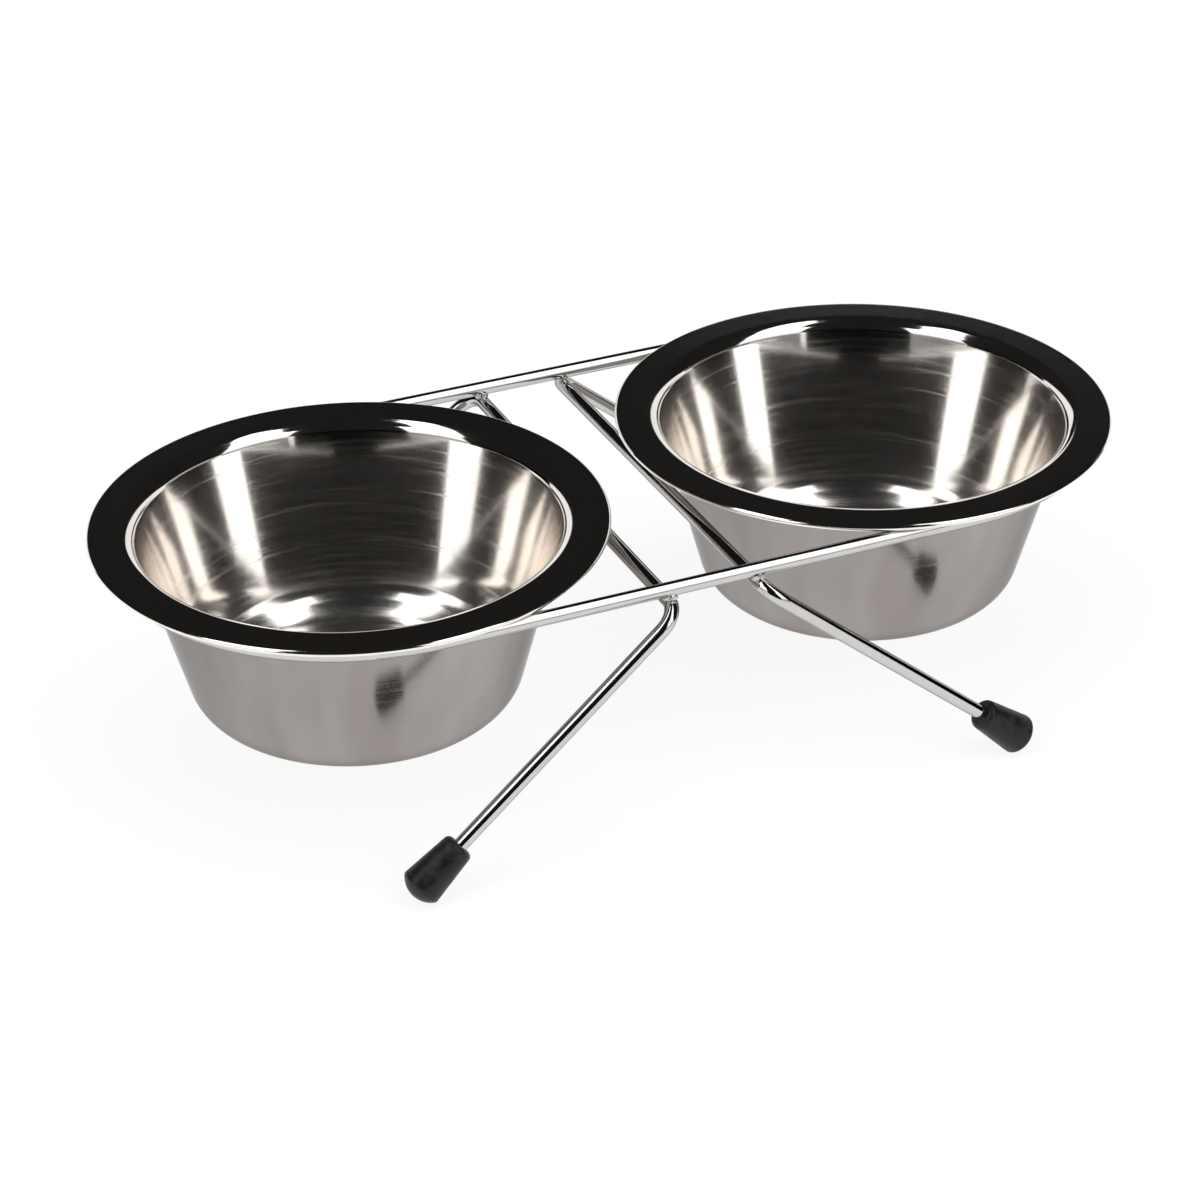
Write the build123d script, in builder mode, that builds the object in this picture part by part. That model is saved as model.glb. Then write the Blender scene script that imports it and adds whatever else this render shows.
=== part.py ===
"""Double pet bowl: two steel bowls hang by their rims in a wire stand with rubber feet.

Millimetres. +X runs along the two bowls, -Y is the front, +Z is up, and the floor is z = 0.
"""

import os
from math import cos, radians, sin, sqrt, tan

from build123d import *

# Bowl: one pressed sheet with a flat rim and a rolled edge
rim_diameter = 160.0
rim_width = 14.0
bowl_depth = 61.5
wall_angle = 15.3
sheet = 0.7
rim_bend_radius = 4.5
floor_corner_radius = 11.9
rolled_edge_radius = 0.95
rolled_edge_turn = 235.0

# Stand: one closed hoop, with two bent leg wires welded under its rails
rim_height = 84.0
bowl_gap = 16.4
wire_diameter = 4.5
rail_inset = 6.4
seat_clearance = 0.2
crossbar_half_spacing = 14.5
leg_overhang = 6.4
leg_bend_radius = 8.0
leg_tilt = 51.0
leg_splay = 2.5
weld_gap = 0.15
weld_radius = 2.6

# Rubber foot, pushed on the end of a leg
foot_top_diameter = 9.6
foot_base_diameter = 13.0
foot_cone_length = 17.2
foot_dome_height = 3.4
foot_shoulder_radius = 1.8
foot_edge_radius = 0.4
foot_bore_depth = 13.0
foot_bore_clearance = 0.03
foot_flat_depth = 0.25

# Sizes that follow from the driving dimensions
rim_radius = rim_diameter / 2
mouth_radius = rim_radius - rim_width
inner_depth = bowl_depth - sheet
floor_corner_x = mouth_radius - inner_depth * tan(radians(wall_angle))
bowl_half_spacing = (rim_diameter + bowl_gap) / 2

wire_radius = wire_diameter / 2
rolled_edge_height = 2 * rolled_edge_radius
rail_half_spacing = rim_radius - rail_inset
hoop_height = rim_height - rolled_edge_height - seat_clearance - wire_radius

# The leg wire turns from the cross wire into the leg by a little less than a right angle
leg_corner_half_spacing = rail_half_spacing + leg_overhang
leg_turn = 90.0 - leg_splay
bend_tangent = leg_bend_radius * tan(radians(leg_turn / 2))
bend_start = leg_corner_half_spacing - bend_tangent
bend_at_rail = max(0.0, rail_half_spacing - bend_start)
drop_at_rail = leg_bend_radius - sqrt(leg_bend_radius**2 - bend_at_rail**2)
weld_centre_drop = wire_diameter + weld_gap
crossbar_height = hoop_height - weld_centre_drop + drop_at_rail * cos(radians(leg_tilt))
weld_x = crossbar_half_spacing + drop_at_rail * sin(radians(leg_tilt))
weld_height = hoop_height - weld_centre_drop / 2

# The foot's dome is part of a sphere, and it stands on the floor with a small flat
foot_top_radius = foot_top_diameter / 2
foot_base_radius = foot_base_diameter / 2
foot_bore_radius = wire_radius + foot_bore_clearance
foot_length = foot_cone_length + foot_dome_height
dome_radius = (foot_base_radius**2 + foot_dome_height**2) / (2 * foot_dome_height)
dome_centre = foot_length - dome_radius
leg_drop_per_mm = cos(radians(leg_tilt)) * cos(radians(leg_splay))
leg_to_dome_centre = (crossbar_height - dome_radius + foot_flat_depth) / leg_drop_per_mm
leg_to_foot_top = leg_to_dome_centre - dome_centre
leg_length = leg_to_foot_top + foot_bore_depth

sides = {"left": -1, "right": 1}
ends = {"front": -1, "back": 1}


def leg_plane(sign):
    """Plane of one U wire: x along the cross wire, y down and out along the legs."""
    tilt = radians(leg_tilt)
    return Plane(
        origin=(sign * crossbar_half_spacing, 0, crossbar_height),
        x_dir=(0, 1, 0),
        z_dir=(-cos(tilt), 0, -sign * sin(tilt)),
    )


def leg_point(end, distance):
    """Point in the plane of a U wire, at a distance down the leg from its corner."""
    splay = radians(leg_splay)
    return (end * (leg_corner_half_spacing + distance * sin(splay)), distance * cos(splay))


os.makedirs("parts", exist_ok=True)

# Bowls: the upper face of the sheet is drawn from the middle of the floor to the rolled edge
for side, sign in sides.items():
    bowl_x = sign * bowl_half_spacing
    roll_centre = (rim_radius - rolled_edge_radius, -rolled_edge_radius)
    with BuildPart() as bowl:
        profile_plane = Plane(origin=(bowl_x, 0, rim_height), x_dir=(1, 0, 0), z_dir=(0, -1, 0))
        with BuildSketch(profile_plane):
            with BuildLine():
                FilletPolyline(
                    (0, -inner_depth),
                    (floor_corner_x, -inner_depth),
                    (mouth_radius, 0),
                    (roll_centre[0], 0),
                    radius=[floor_corner_radius, rim_bend_radius],
                )
                CenterArc(roll_centre, rolled_edge_radius, 90, -rolled_edge_turn)
                offset(amount=sheet, side=Side.RIGHT)
            make_face()
        revolve(axis=Axis((bowl_x, 0, 0), (0, 0, 1)))
    bowl.part.label = f"bowl_{side}"
    export_step(bowl.part, f"parts/bowl_{side}.step")

# Hoop: two straight rails, joined by a half circle under the outer half of each rim
with BuildPart() as frame_hoop:
    with BuildLine(Plane.XY.offset(hoop_height)) as hoop_path:
        Line((-bowl_half_spacing, -rail_half_spacing), (bowl_half_spacing, -rail_half_spacing))
        CenterArc((bowl_half_spacing, 0), rail_half_spacing, -90, 180)
        Line((bowl_half_spacing, rail_half_spacing), (-bowl_half_spacing, rail_half_spacing))
        CenterArc((-bowl_half_spacing, 0), rail_half_spacing, 90, 180)
    with BuildSketch(Plane((-bowl_half_spacing, -rail_half_spacing, hoop_height), z_dir=(1, 0, 0))):
        Circle(wire_radius)
    sweep(path=hoop_path.wires()[0])
frame_hoop.part.label = "frame_hoop"
export_step(frame_hoop.part, "parts/frame_hoop.step")

# Leg wires: each U leans outwards, its cross wire under the rails and its legs beside the bowl
leg_parts = []
for side, sign in sides.items():
    with BuildPart() as leg:
        with BuildLine(leg_plane(sign)) as leg_path:
            FilletPolyline(
                leg_point(ends["back"], leg_length),
                leg_point(ends["back"], 0),
                leg_point(ends["front"], 0),
                leg_point(ends["front"], leg_length),
                radius=leg_bend_radius,
            )
        leg_wire = leg_path.wires()[0]
        with BuildSketch(Plane(leg_wire @ 0, z_dir=leg_wire % 0)):
            Circle(wire_radius)
        sweep(path=leg_wire)
    leg.part.label = f"leg_{side}"
    export_step(leg.part, f"parts/leg_{side}.step")
    leg_parts.append(leg.part)

# Feet: a blunt cone with a blind hole for the leg, a domed end and a small flat on the floor
for side, sign in sides.items():
    for end_name, end in ends.items():
        plane = leg_plane(sign)
        foot_top = plane.from_local_coords(leg_point(end, leg_to_foot_top))
        foot_tip = plane.from_local_coords(leg_point(end, leg_to_foot_top + foot_length))
        foot_axis = Vector(foot_tip - foot_top).normalized()
        with BuildPart() as foot:
            with BuildSketch(Plane(foot_top, x_dir=foot_axis, z_dir=plane.z_dir)) as foot_profile:
                with BuildLine():
                    Polyline(
                        (foot_length, 0),
                        (foot_bore_depth, 0),
                        (foot_bore_depth, foot_bore_radius),
                        (0, foot_bore_radius),
                        (0, foot_top_radius),
                        (foot_cone_length, foot_base_radius),
                    )
                    RadiusArc((foot_cone_length, foot_base_radius), (foot_length, 0), dome_radius)
                make_face()
            revolve(axis=Axis(foot_top, foot_axis))
            rings = foot.edges().filter_by(GeomType.CIRCLE)
            fillet(rings.filter_by(lambda e: abs(e.radius - foot_top_radius) < 0.01), foot_shoulder_radius)
            rings = foot.edges().filter_by(GeomType.CIRCLE)
            fillet(rings.filter_by(lambda e: abs(e.radius - foot_base_radius) < 0.01), foot_edge_radius)
            split(bisect_by=Plane.XY, keep=Keep.TOP)
        foot.part.label = f"foot_{end_name}_{side}"
        export_step(foot.part, f"parts/foot_{end_name}_{side}.step")

# Welds: a nugget of melted wire fills the corner around each crossing of a leg wire and a rail
with BuildPart() as frame_welds:
    weld_places = [(s * weld_x, e * rail_half_spacing, weld_height) for s in sides.values() for e in ends.values()]
    with Locations(*weld_places):
        Sphere(weld_radius)
    add(frame_hoop.part, mode=Mode.SUBTRACT)
    add(leg_parts, mode=Mode.SUBTRACT)
frame_welds.part.label = "frame_welds"
export_step(frame_welds.part, "parts/frame_welds.step")
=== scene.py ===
# %% [markdown]
# Double pet bowl. Two pressed steel bowls hang by their rims in a stand of bright wire with black rubber
# feet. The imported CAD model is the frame: it says where every piece is, and nothing here moves or resizes
# it. The CAD meshes could be dressed as they are, but they are loose triangles, and a mirror finish shows
# every facet. So each piece is modelled again, smooth, in the place of its CAD node, and then takes that
# node's place in the picture.

# %% Load the frame
from math import asin, atan2, cos, pi, radians, sin, sqrt, tan

import bpy
from mathutils import Matrix, Vector


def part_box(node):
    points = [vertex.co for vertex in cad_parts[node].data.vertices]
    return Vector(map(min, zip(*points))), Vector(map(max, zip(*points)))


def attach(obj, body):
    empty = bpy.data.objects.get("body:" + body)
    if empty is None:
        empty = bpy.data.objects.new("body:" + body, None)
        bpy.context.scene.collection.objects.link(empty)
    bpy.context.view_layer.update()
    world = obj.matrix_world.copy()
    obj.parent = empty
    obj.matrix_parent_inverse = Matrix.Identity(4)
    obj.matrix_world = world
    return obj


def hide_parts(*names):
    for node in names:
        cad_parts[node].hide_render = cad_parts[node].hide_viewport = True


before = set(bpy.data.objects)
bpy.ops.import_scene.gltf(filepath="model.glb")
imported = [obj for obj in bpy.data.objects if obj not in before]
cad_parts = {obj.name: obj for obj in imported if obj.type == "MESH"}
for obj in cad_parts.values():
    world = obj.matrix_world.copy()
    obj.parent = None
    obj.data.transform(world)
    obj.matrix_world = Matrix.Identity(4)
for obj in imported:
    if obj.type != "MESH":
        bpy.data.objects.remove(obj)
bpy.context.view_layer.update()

mm = 0.001
sides = {"left": -1, "right": 1}
ends = {"front": -1, "back": 1}

# %% [markdown]
# The camera comes first. It stands in front and a little to the left, about a metre away, and looks down
# on the bowls with a long lens. Its place could be guessed by eye, but the two round rims give it exactly:
# only one camera sees both circles as those two ellipses.

# %% Camera
camera_place = Vector((-0.3943, -0.8857, 0.5917))
camera_heading = radians(23.73)
camera_dip = radians(29.91)
camera_roll = radians(-0.645)
sensor_width = 36.0
image_width = 1200
focal_length_in_pixels = 3484.7

camera = bpy.data.objects.new("camera", bpy.data.cameras.new("camera"))
bpy.context.scene.collection.objects.link(camera)
camera.data.sensor_width = sensor_width
camera.data.lens = focal_length_in_pixels / image_width * sensor_width
camera.matrix_world = (
    Matrix.Translation(camera_place)
    @ Matrix.Rotation(-camera_heading, 4, "Z")
    @ Matrix.Rotation(pi / 2 - camera_dip, 4, "X")
    @ Matrix.Rotation(camera_roll, 4, "Z")
)
bpy.context.scene.camera = camera
bpy.context.scene.view_settings.view_transform = "Standard"
print("camera lens", round(camera.data.lens, 1), "mm")

# %% [markdown]
# Round things are drawn as half a section and spun, which is how the bowls are really made. A curve
# object could hold the section, but a mesh line lets extrude and spin lay every ring exactly where the
# surface needs one: close together in the bends, far apart on the flats, with a short run beside each
# bend so that its shading stays tight.

# %% Drawing a section with extrude and spin
anticlockwise = (0, 1, 0)
clockwise = (0, -1, 0)
edge_run = 0.4 * mm
merge_distance = 0.001 * mm


def start_section(name, place):
    """A new piece that is one vertex: a small plane whose corners are merged at the place."""
    bpy.ops.object.select_all(action="DESELECT")
    bpy.ops.mesh.primitive_plane_add(size=mm, location=place)
    piece = bpy.context.object
    piece.name = piece.data.name = name
    bpy.ops.object.transform_apply(location=True, rotation=True, scale=True)
    bpy.ops.object.mode_set(mode="EDIT")
    bpy.ops.mesh.select_all(action="SELECT")
    bpy.ops.mesh.merge(type="CENTER")
    return piece


def draw_line(direction, length, runs):
    """Extrude the last vertex along a straight stretch, with a short run at each end of it."""
    inner_run = (length - 2 * edge_run) / runs
    for step in [edge_run] + [inner_run] * runs + [edge_run]:
        bpy.ops.mesh.extrude_region_move(TRANSFORM_OT_translate={"value": direction * step})


def draw_arc(centre, turn, steps, way):
    """Spin the last vertex about a centre in the XZ plane."""
    bpy.ops.mesh.spin(steps=steps, angle=turn, center=centre, axis=way)


def spin_section(axis_x, steps):
    """Spin the whole section once around an upright axis and close the seam and the pole."""
    bpy.ops.mesh.select_all(action="SELECT")
    bpy.ops.mesh.spin(steps=steps, angle=2 * pi, center=(axis_x, 0, 0), axis=(0, 0, 1))
    bpy.ops.mesh.select_all(action="SELECT")
    bpy.ops.mesh.remove_doubles(threshold=merge_distance)
    bpy.ops.mesh.normals_make_consistent(inside=False)


def leave_edit_mode(piece, sharp_angle=50):
    """Back to object mode, smooth apart from the edges sharper than the angle."""
    bpy.ops.object.mode_set(mode="OBJECT")
    bpy.ops.object.shade_smooth_by_angle(angle=radians(sharp_angle))
    print(piece.name, len(piece.data.polygons), "faces", [round(d / mm, 1) for d in piece.dimensions], "mm")


def hand_over(piece, body, slot, *nodes):
    """The piece rides on its body and stands for its CAD nodes. The slot is not used."""
    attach(piece, body)
    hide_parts(*nodes)


# %% [markdown]
# Each bowl is one pressed sheet: a flat floor, a round corner, a straight leaning wall, a tight bend, a
# flat rim and an edge that is rolled under. Only the upper face of the sheet is drawn, and a Solidify
# modifier gives it the thickness of the steel. Drawing both faces would work too, but then they could
# drift apart. The modifier also gives the new outer face a material of its own, because the outside of
# the steel is duller, and its colour is darker as painted shade, for the dimmer floor that it reflects.

# %% Sizes of a bowl
bowl_low, bowl_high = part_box("bowl_left")
bowl_x = {side: sum(corner.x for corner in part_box(f"bowl_{side}")) / 2 for side in sides}
rim_radius = (bowl_high.x - bowl_low.x) / 2
rim_top = bowl_high.z
sheet = 0.7 * mm
rim_width = 14 * mm
wall_angle = radians(15.3)
rim_bend_radius = 4.5 * mm
floor_corner_radius = 11.9 * mm
rolled_edge_radius = 0.95 * mm
rolled_edge_turn = radians(235)
bowl_steps = 288
corner_steps = 26
rim_bend_steps = 20
rolled_edge_steps = 28

floor_height = bowl_low.z + sheet
depth = rim_top - floor_height
mouth_radius = rim_radius - rim_width
bend_turn = pi / 2 - wall_angle
corner_tangent = floor_corner_radius * tan(bend_turn / 2)
bend_tangent = rim_bend_radius * tan(bend_turn / 2)
floor_radius = mouth_radius - depth * tan(wall_angle) - corner_tangent
wall_length = depth / cos(wall_angle) - corner_tangent - bend_tangent
flat_end = rim_radius - rolled_edge_radius
flat_width = flat_end - mouth_radius - bend_tangent
print("wall", round(wall_length / mm, 1), "mm, flat of the rim", round(flat_width / mm, 1), "mm")

# %% Left bowl
left_x = bowl_x["left"]
outwards = Vector((1, 0, 0))
up_the_wall = Vector((sin(wall_angle), 0, cos(wall_angle)))
bowl = start_section("steel_bowl_left", (left_x, 0, floor_height))
draw_line(outwards, floor_radius, runs=5)
corner_centre = (left_x + floor_radius, 0, floor_height + floor_corner_radius)
draw_arc(corner_centre, bend_turn, corner_steps, anticlockwise)
draw_line(up_the_wall, wall_length, runs=7)
bend_centre = (left_x + mouth_radius + bend_tangent, 0, rim_top - rim_bend_radius)
draw_arc(bend_centre, bend_turn, rim_bend_steps, clockwise)
draw_line(outwards, flat_width, runs=3)
roll_centre = (left_x + flat_end, 0, rim_top - rolled_edge_radius)
draw_arc(roll_centre, rolled_edge_turn, rolled_edge_steps, clockwise)
spin_section(left_x, bowl_steps)
bpy.ops.object.mode_set(mode="OBJECT")
lowest_face = min(bowl.data.polygons, key=lambda face: face.center.z)
if lowest_face.normal.z < 0:
    bpy.ops.object.mode_set(mode="EDIT")
    bpy.ops.mesh.flip_normals()
    bpy.ops.object.mode_set(mode="OBJECT")
for _ in ("inside", "outside"):
    bowl.data.materials.append(None)
thickness = bowl.modifiers.new("sheet", "SOLIDIFY")
thickness.thickness = sheet
thickness.offset = -1
thickness.use_even_offset = True
thickness.material_offset = 1
thickness.material_offset_rim = 1
bpy.ops.object.modifier_apply(modifier="sheet")
leave_edit_mode(bowl)

# %% Right bowl, a copy of the left one
bpy.ops.object.duplicate()
other_bowl = bpy.context.object
other_bowl.name = other_bowl.data.name = "steel_bowl_right"
bpy.ops.transform.translate(value=(bowl_x["right"] - left_x, 0, 0))
bpy.ops.object.transform_apply(location=True, rotation=True, scale=True)
bowls = {"left": bowl, "right": other_bowl}
for side, piece in bowls.items():
    hand_over(piece, f"bowl_{side}", "bowl_steel", f"bowl_{side}")

# %% [markdown]
# The stand is bent from round wire. A curve with a bevel would be the quick way to make it, but a section
# that is extruded along the straight runs and spun round the bends gives true circular bends and even
# rings. The hoop that carries the rims is one closed loop: two straight rails and a half circle around
# each bowl.

# %% Bending wire
wire_sides = 36
hoop_low, hoop_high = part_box("frame_hoop")
wire_radius = (hoop_high.z - hoop_low.z) / 2
hoop_height = (hoop_high.z + hoop_low.z) / 2
rail_half_spacing = hoop_high.y - wire_radius
half_circle_x = hoop_high.x - wire_radius - rail_half_spacing
wire_seam = 0.005 * mm


def start_wire(name, place, direction):
    """A new piece that is the round section of the wire, facing along the wire."""
    bpy.ops.object.select_all(action="DESELECT")
    turn = direction.to_track_quat("Z", "X").to_euler()
    bpy.ops.mesh.primitive_circle_add(vertices=wire_sides, radius=wire_radius, location=place, rotation=turn)
    piece = bpy.context.object
    piece.name = piece.data.name = name
    bpy.ops.object.transform_apply(location=True, rotation=True, scale=True)
    bpy.ops.object.mode_set(mode="EDIT")
    bpy.ops.mesh.select_all(action="SELECT")
    return piece


def run_wire(direction, length, runs):
    """Extrude the open end of the wire along a straight stretch."""
    for _ in range(runs):
        bpy.ops.mesh.extrude_region_move(TRANSFORM_OT_translate={"value": direction * (length / runs)})


def bend_wire(centre, axis, turn, steps):
    """Spin the open end of the wire round a bend."""
    bpy.ops.mesh.spin(steps=steps, angle=turn, center=centre, axis=axis)


def close_wire():
    """Merge the ends that meet and turn the faces outwards."""
    bpy.ops.mesh.select_all(action="SELECT")
    bpy.ops.mesh.remove_doubles(threshold=wire_seam)
    bpy.ops.mesh.normals_make_consistent(inside=False)


# %% Wire hoop
rail_runs = 8
half_circle_steps = 72
hoop_start = Vector((-half_circle_x, -rail_half_spacing, hoop_height))
hoop = start_wire("wire_hoop", hoop_start, outwards)
for sign in (1, -1):
    run_wire(outwards * sign, 2 * half_circle_x, rail_runs)
    bend_wire((sign * half_circle_x, 0, hoop_height), (0, 0, -1), pi, half_circle_steps)
close_wire()
leave_edit_mode(hoop)
hand_over(hoop, "frame", "wire_chrome", "frame_hoop")

# %% [markdown]
# Each leg wire is a U that leans outwards: its cross wire runs under both rails, and its two legs go down
# and out to the feet. The U is flat, so it is drawn along the directions of its own leaning plane, from
# the end of the front leg round to the end of the back leg. Both ends are hidden in the feet, and they
# get a face so that the wire is closed.

# %% Sizes and directions of a leg wire
_, leg_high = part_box("leg_left")
cross_half_spacing = 14.5 * mm
leg_corner_half_spacing = 80 * mm
leg_bend_radius = 8 * mm
leg_tilt = radians(51)
leg_splay = radians(2.5)
foot_top_radius = 4.8 * mm
foot_base_radius = 6.5 * mm
foot_cone_length = 17.2 * mm
foot_dome_height = 3.4 * mm
foot_flat_depth = 0.25 * mm
foot_bore_depth = 13 * mm

cross_height = leg_high.z - wire_radius
leg_turn = pi / 2 - leg_splay
leg_bend_tangent = leg_bend_radius * tan(leg_turn / 2)
foot_length = foot_cone_length + foot_dome_height
dome_radius = (foot_base_radius**2 + foot_dome_height**2) / (2 * foot_dome_height)
leg_drop = cos(leg_tilt) * cos(leg_splay)
leg_to_dome_centre = (cross_height - dome_radius + foot_flat_depth) / leg_drop
leg_to_foot_top = leg_to_dome_centre + dome_radius - foot_length
leg_length = leg_to_foot_top + foot_bore_depth


def down_the_plane(sign):
    """Direction down and out in the plane of a U wire."""
    return Vector((sign * sin(leg_tilt), 0, -cos(leg_tilt)))


def down_the_leg(sign, end):
    """Direction from the corner of a U wire to its foot."""
    return down_the_plane(sign) * cos(leg_splay) + Vector((0, end * sin(leg_splay), 0))


def leg_corner(sign, end):
    """Corner where the lines of the cross wire and the leg meet."""
    return Vector((sign * cross_half_spacing, end * leg_corner_half_spacing, cross_height))


# %% Leg wires
leg_runs = 6
leg_bend_steps = 28
along_cross = Vector((0, 1, 0))
front, back = ends["front"], ends["back"]

legs = {}
for side, sign in sides.items():
    plane_axis = along_cross.cross(down_the_plane(sign))
    leg_end = leg_corner(sign, front) + down_the_leg(sign, front) * leg_length
    leg = start_wire(f"wire_leg_{side}", leg_end, -down_the_leg(sign, front))
    bpy.ops.mesh.edge_face_add()
    run_wire(-down_the_leg(sign, front), leg_length - leg_bend_tangent, leg_runs)
    for end in (front, back):
        cross_end = leg_corner(sign, end) - end * along_cross * leg_bend_tangent
        centre = cross_end + down_the_plane(sign) * leg_bend_radius
        bend_wire(centre, -plane_axis, leg_turn, leg_bend_steps)
        if end == front:
            run_wire(along_cross, 2 * (leg_corner_half_spacing - leg_bend_tangent), leg_runs)
    run_wire(down_the_leg(sign, back), leg_length - leg_bend_tangent, leg_runs)
    close_wire()
    leave_edit_mode(leg)
    hand_over(leg, "frame", "wire_chrome", f"leg_{side}")
    legs[side] = leg

# %% [markdown]
# A rubber foot is a blunt cone pushed on the end of each leg, with a rounded shoulder, a hole for the
# wire and a domed end. It is drawn upright at the origin and spun, and then four copies are turned onto
# the legs. Turning the section first would save a step, but an upright one is easier to draw. Where the
# dome meets the floor, rubber squashes a little, so bisect cuts it flat with the floor's own plane.

# %% One rubber foot, upright at the origin
foot_shoulder_radius = 1.8 * mm
foot_edge_radius = 0.4 * mm
foot_bore_clearance = 0.03 * mm
foot_steps = 96
dome_steps = 20
shoulder_steps = 14

foot_bore_radius = wire_radius + foot_bore_clearance
cone_lean = atan2(foot_base_radius - foot_top_radius, foot_cone_length)
cone_side = foot_cone_length / cos(cone_lean)
dome_turn = asin(foot_base_radius / dome_radius)
shoulder_turn = pi / 2 - cone_lean
shoulder_tangent = foot_shoulder_radius * tan(shoulder_turn / 2)
up_the_cone = Vector((-sin(cone_lean), 0, cos(cone_lean)))
into_the_cone = Vector((-cos(cone_lean), 0, -sin(cone_lean)))
downwards = Vector((0, 0, -1))

pattern_foot = start_section("rubber_foot", (0, 0, -foot_length))
draw_arc((0, 0, dome_radius - foot_length), dome_turn, dome_steps, anticlockwise)
draw_line(up_the_cone, cone_side - shoulder_tangent, runs=8)
cone_start = Vector((foot_base_radius, 0, -foot_cone_length))
shoulder_start = cone_start + up_the_cone * (cone_side - shoulder_tangent)
shoulder_centre = shoulder_start + into_the_cone * foot_shoulder_radius
draw_arc(shoulder_centre, shoulder_turn, shoulder_steps, anticlockwise)
draw_line(-outwards, foot_top_radius - shoulder_tangent - foot_bore_radius, runs=1)
draw_line(downwards, foot_bore_depth, runs=3)
draw_line(-outwards, foot_bore_radius, runs=1)
spin_section(0, foot_steps)
bpy.ops.object.mode_set(mode="OBJECT")

# %% Round the edge of the foot
edge_segments = 4
base_ring = [v.index for v in pattern_foot.data.vertices if abs(v.co.z + foot_cone_length) < merge_distance]
for item in (*pattern_foot.data.vertices, *pattern_foot.data.edges, *pattern_foot.data.polygons):
    item.select = False
for edge in pattern_foot.data.edges:
    edge.select = all(corner in base_ring for corner in edge.vertices)
bpy.context.tool_settings.mesh_select_mode = (False, True, False)
bpy.ops.object.mode_set(mode="EDIT")
bpy.ops.mesh.bevel(offset=foot_edge_radius, segments=edge_segments)
bpy.ops.mesh.select_all(action="SELECT")
bpy.ops.mesh.remove_doubles(threshold=merge_distance)
bpy.ops.object.mode_set(mode="OBJECT")
bpy.context.tool_settings.mesh_select_mode = (True, False, False)
print(pattern_foot.name, len(base_ring), "corners on the rounded edge")

# %% Four feet on the legs
feet = []
for side, sign in sides.items():
    for end_name, end in ends.items():
        bpy.ops.object.select_all(action="DESELECT")
        pattern_foot.select_set(True)
        bpy.context.view_layer.objects.active = pattern_foot
        bpy.ops.object.duplicate()
        foot = bpy.context.object
        foot.name = foot.data.name = f"rubber_foot_{end_name}_{side}"
        leg_way = down_the_leg(sign, end)
        turn = downwards.rotation_difference(leg_way).to_matrix().to_4x4()
        foot.matrix_world = Matrix.Translation(leg_corner(sign, end) + leg_way * leg_to_foot_top) @ turn
        bpy.ops.object.transform_apply(location=True, rotation=True, scale=True)
        bpy.ops.object.mode_set(mode="EDIT")
        bpy.ops.mesh.select_all(action="SELECT")
        bpy.ops.mesh.bisect(
            plane_co=(0, 0, 0), plane_no=(0, 0, 1), use_fill=True, clear_inner=True, threshold=merge_distance
        )
        leave_edit_mode(foot)
        hand_over(foot, "frame", "foot_rubber", f"foot_{end_name}_{side}")
        feet.append(foot)
bpy.data.objects.remove(pattern_foot)

# %% [markdown]
# Where a leg wire crosses under a rail, the two are spot welded, and a small nugget of melted metal shows
# around the crossing. A plain ball would look like a bead on a string. So each nugget starts as a coarse
# ball whose corners are pushed about at random, with a fixed seed, and is then subdivided until the lumps
# run smoothly into each other.

# %% Weld beads
weld_radius = 2.6 * mm
weld_gap = 0.15 * mm
weld_lump = 0.5 * mm
ball_detail = 3
lump_smoothing = 0.5
lump_cuts = 2
bend_at_rail = rail_half_spacing - leg_corner_half_spacing + leg_bend_tangent
drop_at_rail = leg_bend_radius - sqrt(leg_bend_radius**2 - bend_at_rail**2)
weld_x = cross_half_spacing + drop_at_rail * sin(leg_tilt)
weld_height = hoop_height - wire_radius - weld_gap / 2

beads = []
for sign in sides.values():
    for end in ends.values():
        bpy.ops.object.select_all(action="DESELECT")
        place = (sign * weld_x, end * rail_half_spacing, weld_height)
        ball_radius = weld_radius - weld_lump / 2
        bpy.ops.mesh.primitive_ico_sphere_add(subdivisions=ball_detail, radius=ball_radius, location=place)
        bead = bpy.context.object
        bpy.ops.object.transform_apply(location=True, rotation=True, scale=True)
        bpy.ops.object.mode_set(mode="EDIT")
        bpy.ops.mesh.select_all(action="SELECT")
        bpy.ops.transform.vertex_random(offset=weld_lump, seed=len(beads) + 1)
        bpy.ops.mesh.vertices_smooth(factor=lump_smoothing, repeat=1)
        bpy.ops.mesh.subdivide(number_cuts=lump_cuts, smoothness=1)
        bpy.ops.object.mode_set(mode="OBJECT")
        beads.append(bead)
for bead in beads:
    bead.select_set(True)
bpy.ops.object.join()
welds = bpy.context.object
welds.name = welds.data.name = "weld_beads"
leave_edit_mode(welds, sharp_angle=180)
hand_over(welds, "frame", "weld_chrome", "frame_welds")

# %% [markdown]
# Every finish is procedural and reads Object coordinates. All the pieces are modelled in place with their
# origins at the middle of the stand, so those coordinates are metres in the shared frame and the grain
# keeps its size. The same few nodes come back in each finish, so they get short helpers. Image textures
# would need files, and nothing here has a pattern that a picture could hold better than noise.

# %% Helpers for shader nodes
def new_finish(name):
    """A material, its node tree and its Principled shader."""
    finish = bpy.data.materials.new(name)
    finish.use_nodes = True
    return finish, finish.node_tree, finish.node_tree.nodes["Principled BSDF"]


def add_node(tree, kind, *sources, **values):
    """A new node: sources are linked to its first inputs, values set the inputs with those names."""
    node = tree.nodes.new("ShaderNode" + kind)
    for name, value in values.items():
        node.inputs[name.replace("_", " ")].default_value = value
    for source, socket in zip(sources, node.inputs):
        tree.links.new(source, socket)
    return node


def noise(tree, vector, scale, detail=2.0):
    """Grey noise around one half."""
    return add_node(tree, "TexNoise", vector, Scale=scale, Detail=detail).outputs["Fac"]


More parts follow.
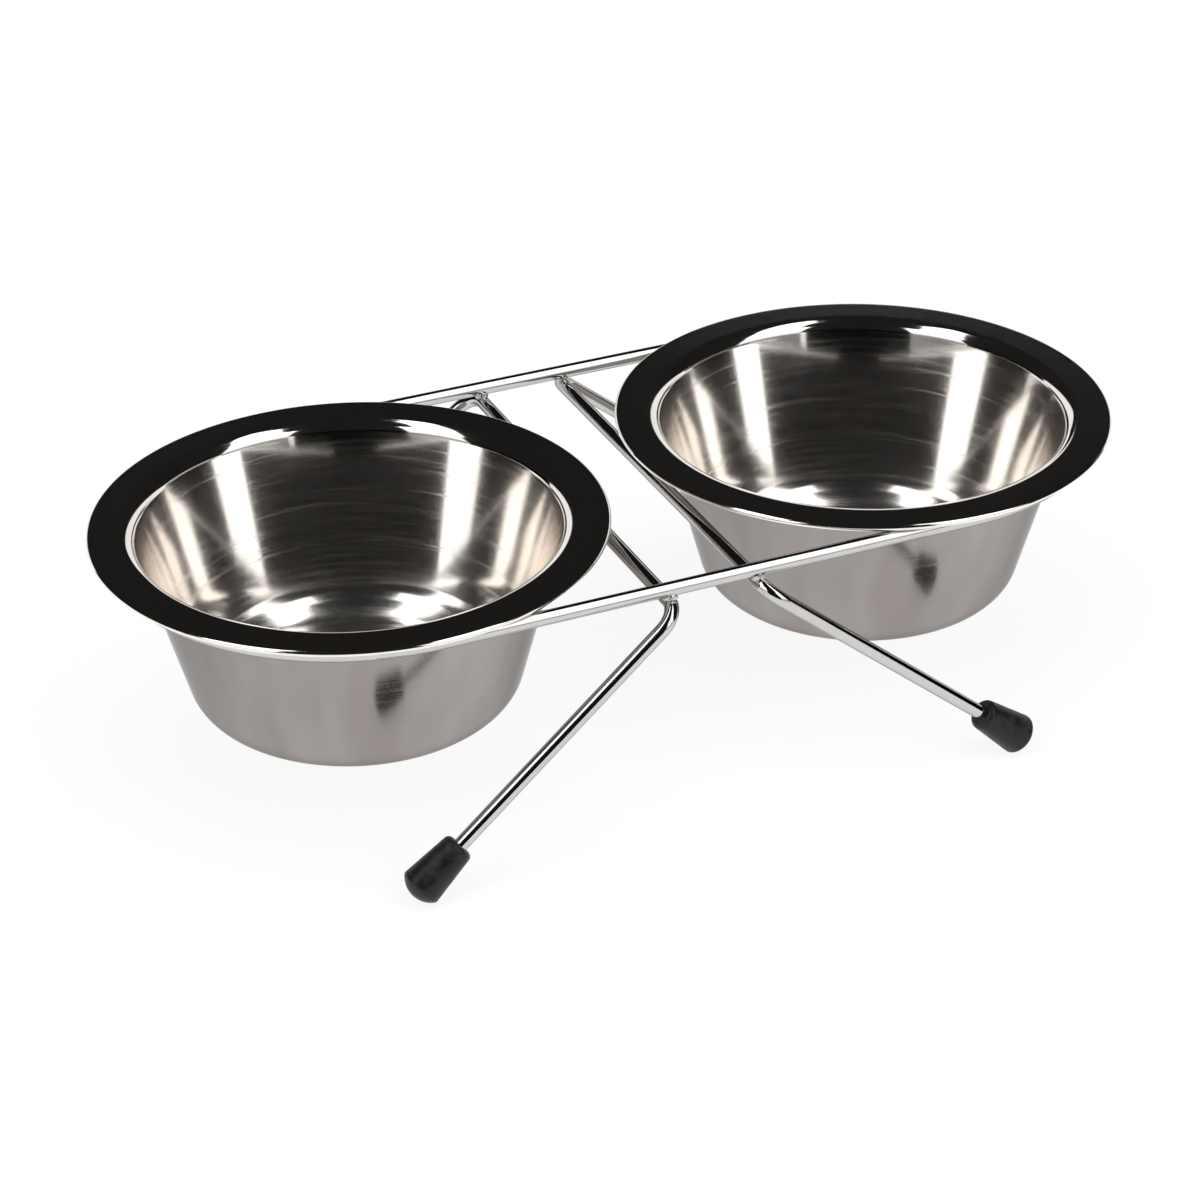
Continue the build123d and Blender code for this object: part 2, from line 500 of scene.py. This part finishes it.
def remap(tree, value, low, high, to_low=0.0, to_high=1.0):
    """A value mapped from one range to another and held inside it."""
    limits = {"From_Min": low, "From_Max": high, "To_Min": to_low, "To_Max": to_high}
    return add_node(tree, "MapRange", value, **limits).outputs["Result"]


def combine(tree, operation, first, second):
    """Arithmetic with two values."""
    node = add_node(tree, "Math", first, second)
    node.operation = operation
    return node.outputs["Value"]


def blend(tree, factor, first, second):
    """A colour between two colours."""
    node = tree.nodes.new("ShaderNodeMix")
    node.data_type = "RGBA"
    # A Mix node has sockets for every type of data, and these are the ones for colours
    factor_in, first_in, second_in = (node.inputs[number] for number in (0, 6, 7))
    colour_out = node.outputs[2]
    tree.links.new(factor, factor_in)
    first_in.default_value = (*first, 1)
    second_in.default_value = (*second, 1)
    return colour_out


def roughen(tree, shader, height, strength, distance):
    """Bump the surface by a height, so that highlights break up."""
    bump = add_node(tree, "Bump", Strength=strength, Distance=distance)
    tree.links.new(height, bump.inputs["Height"])
    tree.links.new(bump.outputs["Normal"], shader.inputs["Normal"])


# %% [markdown]
# The bowls are spun and polished, so the steel is close to a mirror inside, with fine lines that run
# round the axis. Lines round an axis could come from an anisotropic shader, but that blurs everywhere
# alike. Here noise is stretched: slow along x and y, fast along the distance walked out and up the sheet,
# which draws broken circles on the floor and on the wall alike. A grain too fine to see is scattered
# between them: its rough specks put a haze around each reflection, as polish does. Drawing the sheet down
# leaves soft upright streaks. The outside is duller, and its colour and edge tone are darker as painted
# shade, for the dimmer floor that it reflects.

# %% Coordinates for spun steel
def around_axis(tree, place, axis_x):
    """Centred on an upright axis: the place, the place with the walked distance for z, and the height."""
    centred = add_node(tree, "Mapping", place, Location=(-axis_x, 0, 0)).outputs["Vector"]
    split = add_node(tree, "SeparateXYZ", centred).outputs
    level = add_node(tree, "CombineXYZ", split["X"], split["Y"]).outputs["Vector"]
    radius = add_node(tree, "VectorMath", level)
    radius.operation = "LENGTH"
    walked = combine(tree, "ADD", radius.outputs["Value"], split["Z"])
    spun = add_node(tree, "CombineXYZ", split["X"], split["Y"], walked).outputs["Vector"]
    return centred, spun, split["Z"]


def stretched_noise(tree, vector, scale, detail=2.0):
    """Noise with its own number of lumps per metre along each axis."""
    return noise(tree, add_node(tree, "Mapping", vector, Scale=scale).outputs["Vector"], 1.0, detail)


# %% Polished steel
polished = ((0.88, 0.848, 0.812), (0.92, 0.89, 0.856))
# The outside's tones and edge tone are painted shade: they are darker than the steel is, so that the outside
# shows the dimmer floor it reflects.
dull_and_shaded = ((0.318, 0.289, 0.274), (0.392, 0.368, 0.353))
inside_look = {"tones": polished, "edge_tone": 1.0, "smooth": 0.07, "rubbed": 0.24}
outside_look = {"tones": dull_and_shaded, "edge_tone": 0.55, "smooth": 0.13, "rubbed": 0.28}
line_scale = (38, 38, 2000)
line_range = (0.45, 0.70)
band_scale = (14, 14, 500)
band_range = (0.42, 0.72)
streak_scale = (45, 45, 5)
streak_range = (0.35, 0.65)
grain_scale = 9000.0
grain_range = (0.60, 0.72)
corner_zone = (floor_height + 4 * mm, floor_height + 15 * mm)
corner_rubbing = 0.45
bend_zone = (rim_top - 6 * mm, rim_top - 2 * mm)
rim_rubbing = 0.06


def steel_finish(name, axis_x, tones, edge_tone, smooth, rubbed):
    """Spun steel around an upright axis, from a smooth roughness to a rubbed one."""
    finish, tree, shader = new_finish(name)
    place = add_node(tree, "TexCoord").outputs["Object"]
    centred, spun, height = around_axis(tree, place, axis_x)
    lines = stretched_noise(tree, spun, line_scale)
    bands = stretched_noise(tree, spun, band_scale, detail=3.0)
    streaks = stretched_noise(tree, centred, streak_scale)
    grain = remap(tree, noise(tree, place, grain_scale, detail=0.0), *grain_range)
    fine = remap(tree, lines, *line_range)
    coarse = remap(tree, bands, *band_range)
    scratches = combine(tree, "MULTIPLY", fine, coarse)
    low_down = remap(tree, height, *corner_zone, corner_rubbing, 0.0)
    below_rim = remap(tree, height, *bend_zone, 1.0, rim_rubbing)
    rubbing = combine(tree, "ADD", combine(tree, "ADD", grain, scratches), low_down)
    rubbing = combine(tree, "MULTIPLY", rubbing, below_rim)
    tree.links.new(blend(tree, remap(tree, streaks, *streak_range), *tones), shader.inputs["Base Color"])
    tree.links.new(remap(tree, rubbing, 0.0, 1.0, smooth, rubbed), shader.inputs["Roughness"])
    roughen(tree, shader, bands, strength=0.02, distance=0.05 * mm)
    shader.inputs["Metallic"].default_value = 1
    shader.inputs["Specular Tint"].default_value = (edge_tone, edge_tone, edge_tone, 1)
    return finish


for side, piece in bowls.items():
    piece.data.materials[0] = steel_finish(f"steel_inside_{side}", bowl_x[side], **inside_look)
    piece.data.materials[1] = steel_finish(f"steel_outside_{side}", bowl_x[side], **outside_look)
    print(piece.name, "finish", [material.name for material in piece.data.materials])

# %% [markdown]
# The wire is drawn, bent, welded and then chrome plated. The plating is bright, but it follows the skin
# of the drawn wire, so reflections along it waver a little. That skin could be modelled, but it is only
# hundredths of a millimetre deep, so a fine bump does it, and a slower noise changes how sharp the mirror
# is from place to place.

# %% Chrome wire
bright_chrome = (0.65, 0.645, 0.63)
worn_chrome = (0.56, 0.555, 0.545)
chrome, tree, shader = new_finish("chrome_wire")
place = add_node(tree, "TexCoord").outputs["Object"]
skin = noise(tree, place, scale=1500.0, detail=3.0)
wear = noise(tree, place, scale=260.0)
tree.links.new(blend(tree, wear, worn_chrome, bright_chrome), shader.inputs["Base Color"])
tree.links.new(remap(tree, wear, 0.35, 0.7, 0.025, 0.08), shader.inputs["Roughness"])
roughen(tree, shader, skin, strength=0.10, distance=0.05 * mm)
shader.inputs["Metallic"].default_value = 1
# The low specular tint is painted shade: it darkens the chrome at grazing angles, which draws a dark line
# along the top of each wire.
shader.inputs["Specular Tint"].default_value = (0.35, 0.35, 0.35, 1)
for piece in [hoop, *legs.values()]:
    piece.data.materials.append(chrome)
print(chrome.name, "on", 1 + len(legs), "wires")

# %% [markdown]
# The weld beads are plated with the wire, but melted metal sets with a rough skin and stays brownish in
# patches that the heat burnt. Two noises could place the colour and the roughness apart, but on a real
# weld the burnt parts are also the dull ones, so one noise drives both.

# %% Weld metal
bright_weld = (0.66, 0.65, 0.63)
burnt_weld = (0.40, 0.36, 0.32)
weld_metal, tree, shader = new_finish("weld_metal")
place = add_node(tree, "TexCoord").outputs["Object"]
burn = remap(tree, noise(tree, place, scale=700.0, detail=3.0), 0.4, 0.65)
tree.links.new(blend(tree, burn, bright_weld, burnt_weld), shader.inputs["Base Color"])
tree.links.new(remap(tree, burn, 0.0, 1.0, 0.14, 0.45), shader.inputs["Roughness"])
skin = noise(tree, place, scale=1400.0, detail=3.0)
roughen(tree, shader, skin, strength=0.2, distance=0.08 * mm)
shader.inputs["Metallic"].default_value = 1
welds.data.materials.append(weld_metal)
print(weld_metal.name, "on", welds.name)

# %% [markdown]
# The feet are moulded from black rubber. It is never quite black: a faint bloom makes it greyer in
# clouds, and the mould leaves a fine grain that spreads the highlight along the cone. A plain dark grey
# would do from far away, but close up it looks like plastic, so one noise makes the bloom, in colour and
# roughness, and a finer one the grain.

# %% Black rubber
clean_rubber = (0.010, 0.0097, 0.0094)
bloomed_rubber = (0.040, 0.038, 0.0365)
rubber, tree, shader = new_finish("black_rubber")
place = add_node(tree, "TexCoord").outputs["Object"]
bloom = remap(tree, noise(tree, place, scale=260.0, detail=4.0), 0.42, 0.66)
grain = noise(tree, place, scale=2600.0)
tree.links.new(blend(tree, bloom, clean_rubber, bloomed_rubber), shader.inputs["Base Color"])
tree.links.new(remap(tree, bloom, 0.0, 1.0, 0.38, 0.55), shader.inputs["Roughness"])
roughen(tree, shader, grain, strength=0.25, distance=0.08 * mm)
shader.inputs["Specular IOR Level"].default_value = 0.35
for foot in feet:
    foot.data.materials.append(rubber)
print(rubber.name, "on", len(feet), "feet")

# %% [markdown]
# Mirrors show the studio, so the studio is built like the one in the photograph: a tall softbox behind
# the camera on either side, a wedge of light above each that reaches forward over the object, a pale wall
# ahead, and darkness between them. Area lamps could only be rectangles or discs, so each light is a flat
# panel with its real outline that glows. The camera doesn't see the panels, only what they light. Places
# are given as the camera sees the room: ahead along its heading, to the right, and up.

# %% Panels that glow
heading = Vector((sin(camera_heading), cos(camera_heading), 0))
rightwards = Vector((cos(camera_heading), -sin(camera_heading), 0))
upwards = Vector((0, 0, 1))


def glow(name, strength):
    """A material that only gives light."""
    finish, _, shader = new_finish(name)
    shader.inputs["Base Color"].default_value = (0, 0, 0, 1)
    shader.inputs["Specular IOR Level"].default_value = 0
    shader.inputs["Emission Color"].default_value = (1, 1, 1, 1)
    shader.inputs["Emission Strength"].default_value = strength
    return finish


def around(angle, distance, height):
    """A place in the room: degrees to the right of straight ahead, metres away and metres up."""
    way = heading * cos(radians(angle)) + rightwards * sin(radians(angle))
    return way * distance + upwards * height


def height_at(elevation, distance):
    """Metres up to what the rims see at an elevation in degrees."""
    return rim_top + distance * tan(radians(elevation))


def stage_panel(name, corners, finish):
    """A flat panel with the given corners, which the camera doesn't see."""
    mesh = bpy.data.meshes.new(name)
    mesh.from_pydata(corners, [], [range(len(corners))])
    panel = bpy.data.objects.new(name, mesh)
    bpy.context.scene.collection.objects.link(panel)
    mesh.materials.append(finish)
    panel.visible_camera = False
    print(name, len(corners), "corners")
    return panel


# %% [markdown]
# The standing softboxes make the upright bright bands in the bowls. Cloth boxes are dimmer near the
# frame, and these fade towards their lower edge, which keeps the bands on the wall apart from the spots
# in the floor's corner. Two panels could stand for the bright and the dim part, but a ramp over the
# height has no seam.

# %% Standing softboxes
softbox_glow = 2.0
softbox_fade = 0.05
softbox_distance = 3.2
softbox_spans = {"left": (-150, -117), "right": (108, 147)}
softbox_low = height_at(2, softbox_distance)
softbox_full = height_at(26, softbox_distance)
softbox_high = height_at(47, softbox_distance)

standing_finish = glow("standing_glow", softbox_glow)
tree = standing_finish.node_tree
place = add_node(tree, "TexCoord").outputs["Object"]
place_height = add_node(tree, "SeparateXYZ", place).outputs["Z"]
fading = remap(tree, place_height, softbox_low, softbox_full, softbox_fade * softbox_glow, softbox_glow)
tree.links.new(fading, tree.nodes["Principled BSDF"].inputs["Emission Strength"])
for side, (start, end) in softbox_spans.items():
    outline = ((start, softbox_low), (end, softbox_low), (end, softbox_high), (start, softbox_high))
    corners = [around(angle, softbox_distance, height) for angle, height in outline]
    stage_panel(f"softbox_{side}", corners, standing_finish)

# %% [markdown]
# The overhead wedges make the bright patches in the bends and along the tops of the wires. Their outlines
# are given right and forward of the middle, per metre of height above the rims, because a mirror only
# knows directions. So they can hang at any height without a change in what the steel shows.

# %% Overhead wedges
overhead_height = 2.6
wedge_outlines = {
    "left": ((-0.85, -1.20), (-0.24, 0.02), (-0.19, 0.46), (-0.26, 0.46), (-0.40, 0.22), (-0.72, -0.12),
             (-1.35, -0.58)),
    "right": ((0.88, -1.22), (0.25, -0.02), (0.20, 0.37), (0.29, 0.35), (0.42, 0.22), (0.78, -0.10),
              (1.45, -0.45)),
}
wedge_finish = glow("softbox_glow", softbox_glow)
for side, outline in wedge_outlines.items():
    corners = []
    for across, ahead in outline:
        level = (rightwards * across + heading * ahead) * overhead_height
        corners.append(level + upwards * (rim_top + overhead_height))
    stage_panel(f"overhead_{side}", corners, wedge_finish)

# %% [markdown]
# The pale wall ahead shows in the near side of each bend, as a thin bright line round the mouth. It is
# two panels with a gap between them. One wall would be simpler, but the middle of each bowl shows that
# part of it through the haze of the steel, and would turn grey where it has to stay dark.

# %% Wall ahead
wall_glow = 0.9
wall_distance = 2.6
wall_spans = {"left": (-3.7, -0.41), "right": (0.07, 5.0)}
wall_top = height_at(22.5, wall_distance)
wall_finish = glow("wall_glow", wall_glow)
for side, (start, end) in wall_spans.items():
    corners = []
    for across, height in ((start, 0), (end, 0), (end, wall_top), (start, wall_top)):
        corners.append(heading * wall_distance + rightwards * across + upwards * height)
    stage_panel(f"wall_{side}", corners, wall_finish)

# %% [markdown]
# The panels are set for the mirrors, and alone they leave matt things a third too dark. Brighter panels
# would burn out the steel. So a large soft lamp hangs overhead, which mirrors don't show: it brings the
# floor and the rubber up to a plain level, where a colour looks as it is written, and the dark parts of
# the steel stay dark.

# %% Fill lamp
fill_size = 3.0
fill_power = 36
fill_height = 3.2
fill = bpy.data.objects.new("fill_lamp", bpy.data.lights.new("fill_lamp", "AREA"))
bpy.context.scene.collection.objects.link(fill)
fill.data.size = fill_size
fill.data.energy = fill_power
fill.location = upwards * (rim_top + fill_height)
fill.visible_glossy = False
print("fill lamp", fill_power, "W")

# %% [markdown]
# Bright wire on a white floor would fade into it. A photographer stands dark cards around the object,
# which the metal shows as dark lines along its edges, and so does this studio: one card behind the camera
# and one on either side. They could shade the floor as real cards do, but then their shadows would show
# in views from other sides. So only mirrors see them.

# %% Dark cards
card_tone = 0.004
card_elevation = radians(12)
card_spans = {"behind": (150, 210, 3.1), "right": (62, 106, 0.5), "left": (-116, -56, 3.1)}
card_finish, _, shader = new_finish("dark_card")
shader.inputs["Base Color"].default_value = (card_tone, card_tone, card_tone, 1)
shader.inputs["Roughness"].default_value = 1
shader.inputs["Specular IOR Level"].default_value = 0
for side, (start, end, distance) in card_spans.items():
    card_top = rim_top / 2 + distance * tan(card_elevation)
    outline = ((start, 0), (end, 0), (end, card_top), (start, card_top))
    corners = [around(angle, distance, height) for angle, height in outline]
    card = stage_panel(f"dark_card_{side}", corners, card_finish)
    card.visible_diffuse = False
    card.visible_shadow = False

# %% [markdown]
# Beyond the panels the room is dark, apart from a white band at the horizon that stands behind the object
# in low views. The floor is pale and takes the object's shadow. Further out it turns into the same white
# as the horizon, so that no edge shows where the floor ends. More light could make the floor white, but
# it would fall on the object too. So the white is a glow, the Light Path node shows it to the camera and
# to mirrors only, and it isn't sampled as a lamp.

# %% World
room_tone = (0.011, 0.0105, 0.0102)
white = (1.0, 1.0, 1.0)
band_top = 0.16
band_edge = 0.01


def seen(tree):
    """One for what the camera or a mirror sees, nought for what lights the object."""
    rays = add_node(tree, "LightPath").outputs
    mirrored = combine(tree, "MAXIMUM", rays["Is Glossy Ray"], rays["Is Transmission Ray"])
    return combine(tree, "MAXIMUM", rays["Is Camera Ray"], mirrored)


world = bpy.data.worlds.new("studio")
bpy.context.scene.world = world
world.use_nodes = True
tree = world.node_tree
sky_way = add_node(tree, "TexCoord").outputs["Generated"]
sky_height = add_node(tree, "SeparateXYZ", sky_way).outputs["Z"]
in_band = remap(tree, sky_height, band_top - band_edge, band_top + band_edge, 1.0, 0.0)
sky = blend(tree, combine(tree, "MULTIPLY", in_band, seen(tree)), room_tone, white)
tree.links.new(sky, tree.nodes["Background"].inputs["Color"])
world.cycles.sampling_method = "NONE"
print("white up to", band_top, "of the sky")

# %% Floor
floor_size = 24.0
floor_tone = 0.24
floor_lift = 0.87
fade_start, fade_end = 0.5, 1.6
bpy.ops.object.select_all(action="DESELECT")
bpy.ops.mesh.primitive_plane_add(size=floor_size)
floor = bpy.context.object
floor.name = floor.data.name = "floor"
pale, tree, shader = new_finish("pale_floor")
place = add_node(tree, "TexCoord").outputs["Object"]
distance = add_node(tree, "VectorMath", place)
distance.operation = "LENGTH"
away = remap(tree, distance.outputs["Value"], fade_start, fade_end)
tree.links.new(blend(tree, away, (floor_tone,) * 3, (0, 0, 0)), shader.inputs["Base Color"])
lift = remap(tree, away, 0.0, 1.0, floor_lift, 1.0)
tree.links.new(combine(tree, "MULTIPLY", lift, seen(tree)), shader.inputs["Emission Strength"])
pale.cycles.emission_sampling = "NONE"
shader.inputs["Emission Color"].default_value = (*white, 1)
shader.inputs["Roughness"].default_value = 1
shader.inputs["Specular IOR Level"].default_value = 0
floor.data.materials.append(pale)
print("floor", floor_size, "m")

# %% [markdown]
# The inside of a bowl reflects itself several times before the light leaves, so the mirror needs more
# bounces than the four that Cycles gives it.

# %% Bounces
mirror_bounces = 12
bpy.context.scene.cycles.glossy_bounces = mirror_bounces
